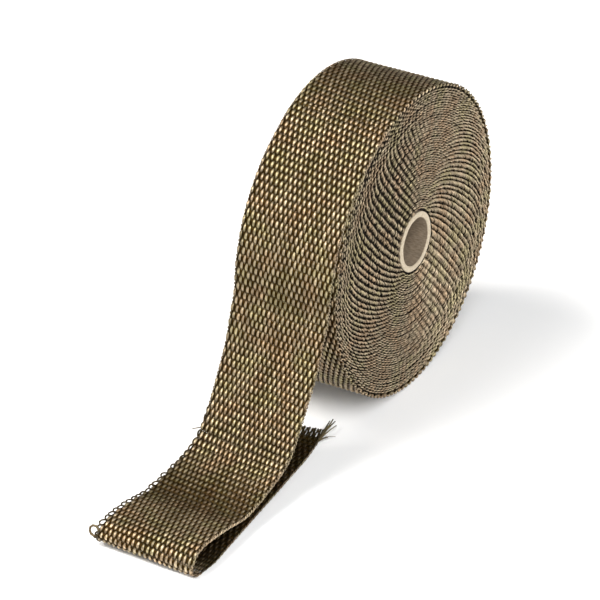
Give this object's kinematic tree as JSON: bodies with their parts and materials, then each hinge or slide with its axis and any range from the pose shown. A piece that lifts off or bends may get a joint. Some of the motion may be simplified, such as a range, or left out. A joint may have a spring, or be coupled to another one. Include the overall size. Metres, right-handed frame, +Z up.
{
  "type": "exhaust heat wrap roll",
  "caption": "Roll of woven heat-resistant exhaust wrap tape on a cardboard core, its free tail hanging down in front, run out over the floor and folded under itself.",
  "frame": {"origin": "on the floor, under the middle of the whole object's box", "axes": "+X along the roll's axis, towards the end that faces the camera; the tail runs out towards -Y; +Z up"},
  "size_m": [0.0644, 0.2634, 0.1476],
  "materials": {
    "heat_wrap": "coarse woven mineral fibre, bronze brown, slightly glossy yarns",
    "core_tube": "matte spiral-wound cardboard"
  },
  "bodies": {
    "root": {"heat_wrap": "heat_wrap", "core_tube": "core_tube"}
  },
  "joints": []
}
